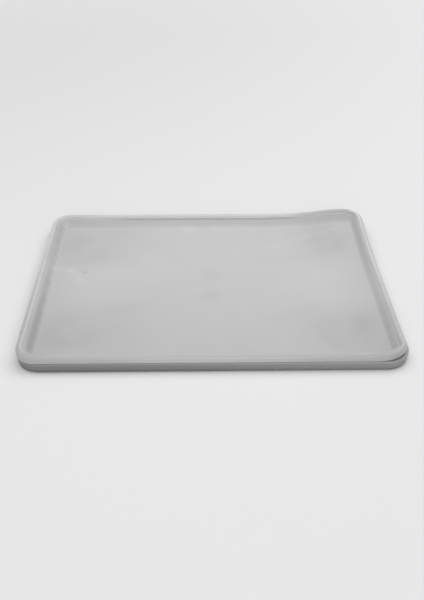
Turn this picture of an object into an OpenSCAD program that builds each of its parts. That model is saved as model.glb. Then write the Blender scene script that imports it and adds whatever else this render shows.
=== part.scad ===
// Wet palette: a shallow moulded tray with a press-on lid, and inside it a wet
// reservoir sponge with one sheet of palette paper lying on top.
// Millimetres. The tray stands on z = 0, centred on the origin, +X along its length.

/* [Outline] */
// Length of the tray, left to right
palette_w = 370; // [250:5:460]
// Depth of the tray, front to back
palette_l = 275; // [180:5:340]
// Radius of the tray's corners, seen from above
corner_r = 22; // [21:1:40]

/* [Tray] */
// Wall thickness of the tray, the same all over
tray_t = 1.5; // [1.2:0.1:1.8]
// Height of the ledge that the lid's skirt comes down to
ledge_h = 9.7; // [9.3:0.2:15]
// Height of the lip above the ledge
lip_h = 6.3; // [5.9:0.1:7]
// Radius where the basin's wall meets its floor
floor_fillet_r = 4; // [2:0.5:5]
// Lean of the basin's wall, in degrees from upright
basin_lean = 25; // [10:1:30]
// Lean of the outer skirt, in degrees from upright
skirt_lean = 5; // [0:1:8]
// Rounding of the skirt's outer edges
edge_r = 1; // [0.4:0.1:1.2]
// Height of the skirt's lower edge above the table
skirt_lift = 0.6; // [0.3:0.1:1.5]
// How far the snap bead stands out from the lip
snap_proud = 0.4; // [0.3:0.1:0.5]
// Height of the snap bead
snap_h = 2; // [1.5:0.1:2.4]
// Depth of the snap bead's middle below the top of the lip
snap_drop = 2; // [1.8:0.1:2.4]

/* [Ribs under the rim] */
// Thickness of each rib between the skirt and the basin
rib_t = 1.1; // [0.8:0.1:1.6]
// Spacing of the ribs along the sides, at most
rib_pitch = 34; // [20:2:60]
// Height of the ribs' lower edge above the table
rib_lift = 3; // [2:0.5:6]
// Number of ribs round each corner
corner_ribs = 2; // [1:1:4]

/* [Lid] */
// Wall thickness of the lid
lid_t = 1.2; // [1:0.1:1.4]
// Thickness of the lid over the top of the lip
crown_t = 1.5; // [1.3:0.1:2]
// How far the lid's edge stays inside the tray's
lid_inset = 1.5; // [1:0.1:2]
// Depth of the flat panel below the top of the bead
panel_drop = 8.6; // [7.6:0.1:8.7]
// Depth of the shoulder inside the bead, below the top of the bead
shoulder_drop = 2.6; // [2.3:0.1:3]
// Width of the shoulder between the bead and the slope
shoulder_w = 2.2; // [2.1:0.1:3]
// Width of the slope from the shoulder down to the panel
slope_w = 5; // [4:0.2:6]
// Rounding where the bead meets the shoulder
valley_r = 1; // [0.6:0.1:1.4]
// Rounding where the shoulder turns down into the slope
brow_r = 2; // [1.6:0.1:2]
// Rounding at the foot of the slope
fold_r = 4; // [1:0.5:5]
// Rounding of the lower edge of the lid's skirt
foot_r = 0.4; // [0.2:0.1:0.6]
// How far the ridge that grips the snap bead stands out inside the skirt
grip_proud = 0.3; // [0.2:0.1:0.4]
// Height of that ridge
grip_h = 1.2; // [0.8:0.1:1.4]

/* [Gate marks] */
// Diameter of the shallow round moulding marks
gate_d = 12; // [6:1:20]
// Depth of the moulding marks
gate_depth = 0.3; // [0.2:0.1:0.5]

/* [Sponge and paper] */
// Thickness of the wet sponge
sponge_t = 1.8; // [1.4:0.1:1.8]
// Gap from the edge of the flat floor to the sponge
sponge_gap = 1.3; // [0.5:0.1:5]
// Radius of the sponge's corners
sponge_r = 9; // [4:1:20]
// Thickness of the palette paper
sheet_t = 0.15; // [0.1:0.05:0.3]
// How far the paper's edge stays inside the sponge's
sheet_margin = 2.5; // [1:0.5:10]

/* [Clearances] */
// Gap between the lid's skirt and the ledge
skirt_gap = 0.3; // [0.3:0.1:0.5]
// Gap between the lid's skirt and the outside of the lip
lip_gap = 1.3; // [1.1:0.1:1.5]
// Gap between the inside of the lip and the lid's plug
plug_gap = 1.2; // [0.4:0.1:1.4]

/* [Hidden] */
$fn = 96;

plastic = [0.86, 0.87, 0.88];
wet_sponge = [0.93, 0.82, 0.45];
paper = [0.95, 0.94, 0.9];

lip_top = ledge_h + lip_h;
lid_top = lip_top + crown_t;
// The ledge's width outside the lip, and the lip's inner face
ledge_w = lid_inset + lid_t + lip_gap;
lip_in = ledge_w + tray_t;
skirt_in = (ledge_h - skirt_lift) * tan(skirt_lean);
// The basin's inner face, where its slanting wall would meet the floor in a sharp corner
basin_u = lip_in + (ledge_h - tray_t) * tan(basin_lean);
// The run of the floor that the fillet takes up
fillet_run = floor_fillet_r / tan((90 + basin_lean) / 2);
flat_u = basin_u + fillet_run;

// The lid's plug stands inside the lip, and the bead spans from skirt to plug
plug_u = lip_in + plug_gap;
bead_in = plug_u + lid_t;
bead_w = bead_in - lid_inset;
bead_r = bead_w / 2;
shoulder_z = lid_top - shoulder_drop;
panel_z = lid_top - panel_drop;
slope_u = bead_in + shoulder_w;
slope_end = slope_u + slope_w;
slope_fall = atan((panel_drop - shoulder_drop) / slope_w);
lid_foot = ledge_h + skirt_gap;
// The rounding inside the top of the lid's channel, and of the lip that stands in it
channel_r = 0.5;
// How far a cutting shape reaches past the face that it opens
cut_past = 2;
// What the sweep leaves free round the corner's axis, and the flat middle fills
hub_r = 1;
hub_u = corner_r - hub_r;

sponge_u = flat_u + sponge_gap;
sponge_z = tray_t;
sheet_u = sponge_u + sheet_margin;
sheet_z = sponge_z + sponge_t;

// Sweeps a profile round the palette's outline. In the profile, x is the
// distance in from the tray's outline and y is the height.
module swept() {
    for (turn = [0 : 3]) {
        along = turn % 2 == 0 ? palette_w : palette_l;
        across = turn % 2 == 0 ? palette_l : palette_w;
        rotate(90 * turn) {
            translate([corner_r - along / 2, -across / 2, 0])
                rotate([90, 0, 90])
                    linear_extrude(along - 2 * corner_r)
                        children();
            translate([along / 2 - corner_r, corner_r - across / 2, 0])
                rotate(-90)
                    rotate_extrude(angle = 90)
                        translate([corner_r, 0])
                            mirror([1, 0])
                                children();
        }
    }
}

// The flat middle inside the swept profile
module middle(z, t) {
    translate([0, 0, z + t / 2])
        cube([palette_w - 2 * hub_u, palette_l - 2 * hub_u, t], center = true);
}

// A flat slab whose edge lies u inside the tray's outline, with corners of radius r
module slab(u, r, z, t) {
    half_w = palette_w / 2 - u;
    half_l = palette_l / 2 - u;
    translate([0, 0, z])
        linear_extrude(t)
            union() {
                square([2 * (half_w - r), 2 * half_l], center = true);
                square([2 * half_w, 2 * (half_l - r)], center = true);
                for (sx = [-1, 1], sy = [-1, 1])
                    translate([sx * (half_w - r), sy * (half_l - r)])
                        circle(r);
            }
}

// What lies between a corner at the origin and an arc of radius r inside it. One
// of the corner's edges runs along +X, and the other is turned from it by angle.
module corner_sliver(angle, r) {
    run = r / tan(angle / 2);
    difference() {
        polygon([[0, 0], [run, 0], [run * cos(angle), run * sin(angle)]]);
        translate([run, r])
            circle(r);
    }
}

// The space inside a dish: right of a wall that leans outward and above a
// floor at height z, with the corner at u rounded
module dish_space(u, z, r, lean, top) {
    difference() {
        polygon([
            [u, z],
            [hub_u, z],
            [hub_u, top],
            [u - (top - z) * tan(lean), top]
        ]);
        translate([u, z])
            corner_sliver(90 + lean, r);
    }
}

// The basin's wall and floor, as one shell of even thickness
module basin_profile() {
    outer_r = floor_fillet_r + tray_t;
    outer_u = flat_u - outer_r / tan((90 + basin_lean) / 2);
    difference() {
        dish_space(outer_u, 0, outer_r, basin_lean, ledge_h);
        dish_space(basin_u, tray_t, floor_fillet_r, basin_lean, ledge_h + cut_past);
    }
}

// The upright lip, with its snap bead below the rounded top
module lip_profile() {
    translate([ledge_w, ledge_h - tray_t])
        square([tray_t, lip_h + tray_t - channel_r]);
    translate([ledge_w + channel_r, ledge_h])
        square([tray_t - 2 * channel_r, lip_h]);
    for (u = [ledge_w + channel_r, lip_in - channel_r])
        translate([u, lip_top - channel_r])
            circle(channel_r);
    translate([ledge_w, lip_top - snap_drop])
        low_bead(snap_proud, snap_h);
}

// A low bead of the given height on an upright wall at u = 0, standing out on both sides
module low_bead(proud, h) {
    r = (proud * proud + h * h / 4) / (2 * proud);
    intersection() {
        translate([r - proud, 0])
            circle(r);
        translate([proud - r, 0])
            circle(r);
    }
}

// The ledge and the skirt that hangs from it
module skirt_profile() {
    difference() {
        polygon([
            [skirt_in, skirt_lift],
            [0, ledge_h],
            [lip_in, ledge_h],
            [lip_in, ledge_h - tray_t],
            [tray_t + tray_t * tan(skirt_lean), ledge_h - tray_t],
            [skirt_in + tray_t, skirt_lift]
        ]);
        translate([0, ledge_h])
            mirror([0, 1])
                corner_sliver(90 - skirt_lean, edge_r);
        translate([skirt_in, skirt_lift])
            corner_sliver(90 + skirt_lean, edge_r);
    }
}

// A web between the skirt and the basin, under the ledge
module rib_profile() {
    half_t = tray_t / 2;
    skirt_u = (ledge_h - rib_lift) * tan(skirt_lean) + half_t;
    basin_out = lip_in + (ledge_h - rib_lift) * tan(basin_lean);
    polygon([
        [half_t, ledge_h - half_t],
        [skirt_u, rib_lift],
        [basin_out - half_t, rib_lift],
        [lip_in - half_t, ledge_h - half_t]
    ]);
}

module ribs() {
    for (turn = [0 : 3]) {
        along = turn % 2 == 0 ? palette_w : palette_l;
        across = turn % 2 == 0 ? palette_l : palette_w;
        run = along - 2 * corner_r;
        gaps = ceil(run / rib_pitch);
        rotate(90 * turn) {
            for (i = [0 : gaps])
                translate([run * (i / gaps - 1 / 2) - rib_t / 2, -across / 2, 0])
                    rotate([90, 0, 90])
                        linear_extrude(rib_t)
                            rib_profile();
            translate([along / 2 - corner_r, corner_r - across / 2, 0])
                for (i = [1 : corner_ribs])
                    rotate(-90 * i / (corner_ribs + 1))
                        translate([corner_r, -rib_t / 2, 0])
                            rotate([90, 0, 180])
                                linear_extrude(rib_t)
                                    rib_profile();
        }
    }
}

module tray() {
    color(plastic)
        difference() {
            union() {
                swept() {
                    basin_profile();
                }
                swept() {
                    lip_profile();
                    skirt_profile();
                }
                middle(0, tray_t);
                ribs();
            }
            cylinder(h = 2 * gate_depth, d = gate_d, center = true);
        }
}

// Everything under the lid's top face: the round bead, and the shoulder, the slope
// and the panel inside it
module lid_outer_profile() {
    bead_u = lid_inset + bead_r;
    bead_z = lid_top - bead_r;
    valley_z = shoulder_z + valley_r;
    valley_u = bead_u + sqrt(pow(bead_r + valley_r, 2) - pow(valley_z - bead_z, 2));
    translate([bead_u, bead_z])
        circle(bead_r);
    translate([lid_inset, lid_foot])
        square([bead_r, bead_z - lid_foot]);
    difference() {
        polygon([
            [bead_u, bead_z],
            [valley_u, valley_z],
            [valley_u, shoulder_z - lid_t],
            [bead_u, shoulder_z - lid_t]
        ]);
        translate([valley_u, valley_z])
            circle(valley_r);
    }
    difference() {
        polygon([
            [bead_u, shoulder_z],
            [slope_u, shoulder_z],
            [slope_end, panel_z],
            [hub_u, panel_z],
            [hub_u, panel_z - lid_t],
            [bead_u, panel_z - lid_t]
        ]);
        translate([slope_u, shoulder_z])
            rotate(180)
                corner_sliver(180 - slope_fall, brow_r);
    }
    translate([slope_end, panel_z])
        corner_sliver(180 - slope_fall, fold_r);
}

// The channel over the lip and the space under the shoulder, the slope and the panel
module lid_under_space() {
    channel_u = lid_inset + lid_t;
    fold_in = lid_t * tan(slope_fall / 2);
    low = panel_z - lid_t - cut_past;
    translate([channel_u, low])
        square([plug_u - channel_u, lip_top - channel_r - low]);
    translate([channel_u + channel_r, low])
        square([plug_u - channel_u - 2 * channel_r, lip_top - low]);
    for (u = [channel_u + channel_r, plug_u - channel_r])
        translate([u, lip_top - channel_r])
            circle(channel_r);
    difference() {
        polygon([
            [channel_u, low],
            [channel_u, shoulder_z - lid_t],
            [slope_u - fold_in, shoulder_z - lid_t],
            [slope_end - fold_in, panel_z - lid_t],
            [slope_end - fold_in, low]
        ]);
        translate([slope_u - fold_in, shoulder_z - lid_t])
            rotate(180)
                corner_sliver(180 - slope_fall, brow_r - lid_t);
    }
    translate([slope_end - fold_in, panel_z - lid_t])
        corner_sliver(180 - slope_fall, fold_r + lid_t);
}

module lid_profile() {
    difference() {
        lid_outer_profile();
        lid_under_space();
        translate([lid_inset, lid_foot])
            corner_sliver(90, foot_r);
    }
    translate([lid_inset + lid_t, (lid_foot + lip_top - snap_drop - snap_h / 2) / 2])
        low_bead(grip_proud, grip_h);
}

module lid() {
    color(plastic)
        difference() {
            union() {
                swept()
                    lid_profile();
                middle(panel_z - lid_t, lid_t);
            }
            translate([0, 0, panel_z])
                cylinder(h = 2 * gate_depth, d = gate_d, center = true);
        }
}

module sponge() {
    color(wet_sponge)
        slab(sponge_u, sponge_r, sponge_z, sponge_t);
}

module palette_sheet() {
    color(paper)
        translate([0, 0, sheet_z + sheet_t / 2])
            cube([palette_w - 2 * sheet_u, palette_l - 2 * sheet_u, sheet_t], center = true);
}

tray();
sponge();
palette_sheet();
lid();
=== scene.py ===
"""Wet palette: a milky moulded tray with a press-on lid, a thin wet sponge and a sheet of paper.

Each piece has its own settings and its own operator, under Wet Palette in the sidebar.
Sizes are in metres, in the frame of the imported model.
"""

import math

import bmesh
import bpy
from mathutils import Matrix, Vector, noise


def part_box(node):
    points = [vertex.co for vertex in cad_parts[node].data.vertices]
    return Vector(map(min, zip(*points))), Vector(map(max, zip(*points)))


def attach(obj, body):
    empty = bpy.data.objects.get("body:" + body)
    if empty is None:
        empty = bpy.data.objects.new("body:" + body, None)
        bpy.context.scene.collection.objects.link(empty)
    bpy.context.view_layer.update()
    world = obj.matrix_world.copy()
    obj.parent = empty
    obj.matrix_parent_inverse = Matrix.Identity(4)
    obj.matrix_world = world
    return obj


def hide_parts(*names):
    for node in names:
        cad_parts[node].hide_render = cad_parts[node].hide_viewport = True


bl_info = {
    "name": "Wet Palette",
    "version": (1, 0, 0),
    "blender": (4, 2, 0),
    "location": "View3D > Sidebar > Wet Palette",
    "description": "Builds a moulded wet palette with its lid, sponge and paper",
    "category": "Object",
}

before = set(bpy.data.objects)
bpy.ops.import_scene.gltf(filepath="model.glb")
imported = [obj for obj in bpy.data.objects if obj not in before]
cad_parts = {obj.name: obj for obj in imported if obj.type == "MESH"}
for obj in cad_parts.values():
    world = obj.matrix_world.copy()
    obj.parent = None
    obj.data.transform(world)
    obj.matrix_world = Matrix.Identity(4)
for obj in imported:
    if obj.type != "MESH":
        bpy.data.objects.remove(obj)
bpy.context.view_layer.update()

MM = 0.001
# A gap that keeps two faces from lying in one plane
HAIR = 0.02 * MM
# Most turn between two points of a rounding
ROUND_STEP = math.radians(11.25)
# Faces that meet at less than this are shaded as one
SMOOTH_ANGLE = math.radians(32.0)
# The picture's height in pixels, and the camera's sensor in millimetres
FRAME_H = 600
SENSOR = 36.0


# ---------------------------------------------------------------- settings


def length(name, description, default):
    """A length in metres."""
    return bpy.props.FloatProperty(
        name=name, description=description, default=default,
        unit="LENGTH", subtype="DISTANCE", precision=5)


def amount(name, description, default):
    """A share from 0 up, without a unit."""
    return bpy.props.FloatProperty(
        name=name, description=description, default=default,
        min=0.0, soft_max=1.0, subtype="FACTOR")


def angle(name, description, degrees):
    """An angle, given here in degrees and kept in radians."""
    return bpy.props.FloatProperty(
        name=name, description=description, default=math.radians(degrees),
        unit="ROTATION", subtype="ANGLE")


def tone(name, description, default):
    """A linear colour."""
    return bpy.props.FloatVectorProperty(
        name=name, description=description, default=default, size=3,
        min=0.0, max=1.0, subtype="COLOR")


class WetPaletteOutline(bpy.types.PropertyGroup):
    """The rounded rectangle that the whole palette is swept round."""

    width: length("Width", "Length of the tray, left to right", 0.370)
    depth: length("Depth", "Depth of the tray, front to back", 0.275)
    corner: length("Corner radius", "Radius of the tray's corners seen from above", 0.022)


class WetPaletteTray(bpy.types.PropertyGroup):
    """Sizes of the tray's section."""

    wall: length("Wall", "Wall thickness", 0.0015)
    ledge_h: length("Ledge height", "Height of the ledge under the lid's skirt", 0.0097)
    ledge_w: length("Ledge width", "Width of the ledge outside the lip", 0.0040)
    lip_h: length("Lip height", "Height of the lip above the ledge", 0.0063)
    floor_fillet: length("Floor fillet", "Radius where the wall meets the floor", 0.0040)
    basin_lean: angle("Basin lean", "Lean of the basin's wall from upright", 25.0)
    skirt_lean: angle("Skirt lean", "Lean of the outer skirt from upright", 5.0)
    edge: length("Edge rounding", "Rounding of the skirt's outer edges", 0.0010)
    skirt_lift: length("Skirt lift", "Height of the skirt's lower edge", 0.0006)
    bead_out: length("Snap bead", "How far the snap bead stands out", 0.0004)
    bead_h: length("Snap bead height", "Height of the snap bead", 0.0020)
    bead_drop: length("Snap bead drop", "Middle of the bead below the lip's top", 0.0020)
    rib: length("Rib thickness", "Thickness of the ribs under the rim", 0.0011)
    rib_pitch: length("Rib spacing", "Spacing of the ribs, at most", 0.034)
    rib_lift: length("Rib lift", "Height of the ribs' lower edge", 0.003)
    skew: length("Front skew", "How far the soft skirt leans to the right at the front", 0.0013)
    tuck: length("Corner tuck", "How far the skirt's front right corner is worn in", 0.0008)
    corner_ribs: bpy.props.IntProperty(
        name="Corner ribs", description="Ribs round each corner", default=2, min=0)


class WetPaletteLid(bpy.types.PropertyGroup):
    """Sizes of the lid's section, and how the flexible lid lies."""

    wall: length("Wall", "Wall thickness", 0.0012)
    crown: length("Crown", "Thickness over the top of the lip", 0.0015)
    inset: length("Inset", "How far the lid's edge stays inside the tray's", 0.0015)
    skirt_gap: length("Skirt gap", "Gap between the skirt and the ledge", 0.0001)
    plug_gap: length("Plug gap", "Gap between the lip and the lid's plug", 0.0012)
    panel_drop: length("Panel drop", "Depth of the panel below the bead", 0.0086)
    shoulder_drop: length("Shoulder drop", "Depth of the shoulder below the bead", 0.0026)
    shoulder_w: length("Shoulder width", "Width of the shoulder", 0.0022)
    slope_w: length("Slope width", "Width of the slope down to the panel", 0.0050)
    valley: length("Valley rounding", "Rounding where bead meets shoulder", 0.0016)
    brow: length("Brow rounding", "Rounding where the shoulder turns down", 0.0034)
    fold: length("Fold rounding", "Rounding at the foot of the slope", 0.0040)
    foot: length("Foot rounding", "Rounding of the skirt's lower edge", 0.0004)
    grip_out: length("Grip ridge", "How far the ridge inside the skirt stands out", 0.0003)
    grip_h: length("Grip ridge height", "Height of the ridge inside the skirt", 0.0012)
    rear_lift: length("Rear lift", "Lift of the rear right corner, not quite pressed on", 0.0055)
    rear_peak: length("Rear peak", "Further lift of the rear edge beside that corner", 0.0022)
    corner_pull: length("Corner pull", "How far the lifted rear right corner draws in", 0.0018)
    side_bow: length("Side bow", "How far the right edge bows out towards that corner", 0.0009)
    front_lift: length("Front lift", "Lift of the front right corner", 0.0049)
    front_draw: length("Front draw", "How far the front right corner is drawn in", 0.0014)
    bow: length("Rear bow", "Rise of the rear edge's middle", 0.0004)
    corner: length("Corner radius", "Radius of the lid's outline at the tray's edge", 0.021)
    shift_x: length("Shift left", "How far the whole lid sits to the left", 0.0004)
    shift_y: length("Shift forward", "How far the whole lid sits to the front", 0.0005)
    ripple: length("Ripple", "Height of the soft waves in the panel", 0.00025)


class WetPaletteSoft(bpy.types.PropertyGroup):
    """Sizes of the sponge and the paper."""

    sponge_t: length("Sponge thickness", "Thickness of the wet sponge", 0.0018)
    sponge_r: length("Sponge corners", "Radius of the sponge's corners", 0.009)
    sheet_t: length("Paper thickness", "Thickness of the paper", 0.00015)
    sheet_wave: length("Paper waves", "Height of the damp paper's waves", 0.0005)


class WetPaletteFinish(bpy.types.PropertyGroup):
    """Colours and surface of the materials."""

    lid_tone: tone("Lid", "Milky plastic of the lid", (0.553, 0.554, 0.554))
    # The tray's tone is the lid's plastic made darker: painted shade
    shaded_tray_tone: tone("Tray", "Milky plastic of the tray", (0.287, 0.288, 0.288))
    sponge_tone: tone("Sponge", "Wet cellulose", (0.71, 0.52, 0.16))
    paper_tone: tone("Paper", "Damp palette paper", (0.78, 0.75, 0.66))
    flow: amount("Flow marks", "Strength of the marks that run out from the middle", 0.028)
    cloud: amount("Clouds", "Strength of the cloudy tone", 0.06)
    # Patches scales all the painted shade and painted light of the panel
    patches: amount("Patches", "Strength of the soft darker patches", 1.0)
    # Bands scales the painted highlights and painted shade along the rim
    bands: amount("Bands", "Strength of the tone bands along the rim", 1.0)
    scuffs: amount("Scuffs", "Strength of the fine scuffs", 0.35)


class WetPaletteStage(bpy.types.PropertyGroup):
    """Camera, floor and light."""

    focal: bpy.props.FloatProperty(
        name="Focal length", description="Focal length in pixels of the frame", default=755.831)
    elevation: angle("Elevation", "Height angle of the camera", 35.0518)
    yaw: angle("Yaw", "Turn of the camera round the palette", -1.6868)
    roll: angle("Roll", "Roll of the camera", 0.6278)
    distance: length("Distance", "From the camera to its target", 0.821872)
    target_x: length("Target X", "Where the camera points", 0.002156)
    target_z: length("Target Z", "Where the camera points", -0.015157)
    key: amount("Key light", "Brightness of the broad light above", 2.07)
    fill: amount("Fill light", "Brightness of the weak light in front", 1.6)
    sky: amount("Sky", "Brightness of the even light all round", 0.33)
    pale: amount("Pale ground", "Tone of the floor as it is seen", 0.8)
    dim: amount("Dim ground", "Tone of the floor as it lights the palette", 0.6)
    far: amount("Far ground", "How much paler the floor is seen far off", 0.52)


# ---------------------------------------------------------------- shapes


def arc_points(a, corner, b, radius):
    """Points that round the corner between the lines to a and to b."""
    to_a = (a - corner).normalized()
    to_b = (b - corner).normalized()
    spread = to_a.angle(to_b)
    if radius <= 0.0 or spread > math.pi - 1e-4:
        return [corner]
    run = radius / math.tan(spread / 2)
    centre = corner + (to_a + to_b).normalized() * (radius / math.sin(spread / 2))
    start = corner + to_a * run - centre
    turn = math.pi - spread
    if start.x * (corner.y - centre.y) - start.y * (corner.x - centre.x) < 0:
        turn = -turn
    count = max(2, math.ceil(abs(turn) / ROUND_STEP))
    points = []
    for i in range(count + 1):
        a_i = turn * i / count
        c, s = math.cos(a_i), math.sin(a_i)
        points.append(centre + Vector((start.x * c - start.y * s, start.x * s + start.y * c)))
    return points


def rounded(vertices, longest=2.5 * MM):
    """A section line through (inset, height, radius), rounded, with long stretches divided."""
    flat = [Vector((u, z)) for u, z, _ in vertices]
    line = [flat[0]]
    for i in range(1, len(vertices) - 1):
        line.extend(arc_points(flat[i - 1], flat[i], flat[i + 1], vertices[i][2]))
    line.append(flat[-1])
    points = [line[0]]
    for a, b in zip(line, line[1:]):
        parts = max(1, math.ceil((b - a).length / longest))
        points.extend(a.lerp(b, k / parts) for k in range(1, parts + 1))
    return points


def arc_about(centre, radius, start, end, step=ROUND_STEP):
    """Points on an arc about a centre, from one angle to another."""
    count = max(2, math.ceil(abs(end - start) / step))
    angles = [start + (end - start) * i / count for i in range(count + 1)]
    return [centre + Vector((math.cos(a), math.sin(a))) * radius for a in angles]


class Outline:
    """The rounded rectangle as stations, each a point where the corner arcs meet and a normal."""

    def __init__(self, width, depth, corner, cells_x=76, cells_y=56, arc=14):
        self.corner = corner
        self.half_x = width / 2 - corner
        self.half_y = depth / 2 - corner
        self.cells_x = cells_x
        self.cells_y = cells_y
        hx, hy = self.half_x, self.half_y
        ends = [(-hx, -hy), (hx, -hy), (hx, hy), (-hx, hy)]
        self.stations = []
        for k in range(4):
            (ax, ay), (bx, by) = ends[k], ends[(k + 1) % 4]
            cells = cells_x if k % 2 == 0 else cells_y
            facing = math.radians(90 * k - 90)
            nx, ny = round(math.cos(facing)), round(math.sin(facing))
            for i in range(cells + 1):
                t = i / cells
                self.stations.append((ax + (bx - ax) * t, ay + (by - ay) * t, nx, ny))
            for i in range(1, arc):
                turned = facing + math.radians(90) * i / arc
                self.stations.append((bx, by, math.cos(turned), math.sin(turned)))

    def ring(self, u, z):
        """The station points at an inset u and a height z."""
        reach = self.corner - u
        return [(x + nx * reach, y + ny * reach, z) for x, y, nx, ny in self.stations]


def add_ring(bm, points):
    return [bm.verts.new(p) for p in points]


def bridge(bm, outer, inner, up=True):
    """Quads between two closed rings with as many points."""
    count = len(outer)
    for i in range(count):
        j = (i + 1) % count
        face = (outer[i], outer[j], inner[j], inner[i])
        bm.faces.new(face if up else face[::-1])


def add_middle(bm, outline, z, up, mark=None):
    """The flat grid inside the sweep. With mark, a list of (radius, height), the very
    middle is a round moulding mark."""
    nx, ny = outline.cells_x, outline.cells_y
    hole = 5 if mark else 0
    grid = {}
    for i in range(nx + 1):
        for j in range(ny + 1):
            if max(abs(i - nx // 2), abs(j - ny // 2)) < hole:
                continue
            x = outline.half_x * (2 * i / nx - 1)
            y = outline.half_y * (2 * j / ny - 1)
            grid[i, j] = bm.verts.new((x, y, z))
    for i in range(nx):
        for j in range(ny):
            face = [grid.get(k) for k in ((i, j), (i + 1, j), (i + 1, j + 1), (i, j + 1))]
            inside = max(abs(i + 0.5 - nx / 2), abs(j + 0.5 - ny / 2)) < hole
            if inside or None in face:
                continue
            bm.faces.new(face if up else face[::-1])
    if not mark:
        return
    # The grid's points round the hole, from its front left corner
    i, j = nx // 2 - hole, ny // 2 - hole
    ring = []
    for di, dj in ((1, 0), (0, 1), (-1, 0), (0, -1)):
        for _ in range(2 * hole):
            ring.append(grid[i, j])
            i, j = i + di, j + dj
    rim = [Vector(v.co) for v in ring]
    ways = [Vector((p.x, p.y, 0.0)).normalized() for p in rim]

    def circle(radius, height):
        return [way * radius + Vector((0.0, 0.0, height)) for way in ways]

    first = circle(mark[0][0], z)
    rounds = [[p.lerp(q, share) for p, q in zip(rim, first)] for share in (0.4, 0.75)]
    rounds += [circle(radius, height) for radius, height in mark]
    for points in rounds:
        new = add_ring(bm, points)
        bridge(bm, ring, new, up)
        ring = new
    tip = bm.verts.new((0.0, 0.0, mark[-1][1]))
    for i in range(len(ring)):
        face = (ring[i], ring[(i + 1) % len(ring)], tip)
        bm.faces.new(face if up else face[::-1])


def mark_rings(z, depth, radius=6 * MM):
    """Radii and heights of a shallow round mark, sunk by depth (upward if negative)."""
    soft = 0.35 * MM
    return [
        (radius + 3 * MM, z), (radius + soft, z), (radius, z - 0.25 * depth),
        (radius - soft, z - 0.8 * depth), (radius - 2 * soft, z - depth),
        (radius * 0.5, z - depth)]


def make_object(name, bm, material, warp=None):
    """A new object from bm, bent by warp, welded, smooth shaded and with its material."""
    for v in bm.verts if warp else ():
        v.co = warp(v.co)
    bmesh.ops.remove_doubles(bm, verts=bm.verts, dist=1e-6)
    bmesh.ops.recalc_face_normals(bm, faces=bm.faces)
    mesh = bpy.data.meshes.new(name)
    bm.to_mesh(mesh)
    bm.free()
    mesh.materials.append(material)
    mesh.shade_smooth()
    mesh.set_sharp_from_angle(angle=SMOOTH_ANGLE)
    piece = bpy.data.objects.new(name, mesh)
    bpy.context.scene.collection.objects.link(piece)
    return piece


def inset_at(o, x, y):
    """How far a point lies inside the rounded outline, at most at its middle line."""
    qx = abs(x) - o.width / 2 + o.corner
    qy = abs(y) - o.depth / 2 + o.corner
    if qx > 0 and qy > 0:
        return o.corner - math.hypot(qx, qy)
    return o.corner - max(qx, qy)


def sweep(outline, section, under_mark=None):
    """A closed shell. The section runs from the top of the middle out round the rim and
    back to the underside of the middle."""
    bm = bmesh.new()
    rings = [add_ring(bm, outline.ring(p.x, p.y)) for p in section]
    for a, b in zip(rings, rings[1:]):
        bridge(bm, b, a)
    add_middle(bm, outline, section[0].y, True)
    add_middle(bm, outline, section[-1].y, False, under_mark)
    return bm


def bell(distance):
    """A smooth fall from 1 at nothing to 0 at 1 and beyond."""
    t = max(0.0, 1.0 - min(1.0, distance))
    return t * t * (3.0 - 2.0 * t)


def bump_at(x, y, middle, reach):
    """A smooth bump, 1 at its middle and 0 past its reach, across and along."""
    return bell(math.hypot((x - middle[0]) / reach[0], (y - middle[1]) / reach[1]))


def waves(x, y, scale, layer):
    """A smooth noise about 0. Each layer is another pattern."""
    return noise.noise(Vector((x * scale, y * scale, layer)))


# ---------------------------------------------------------------- node trees


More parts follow.
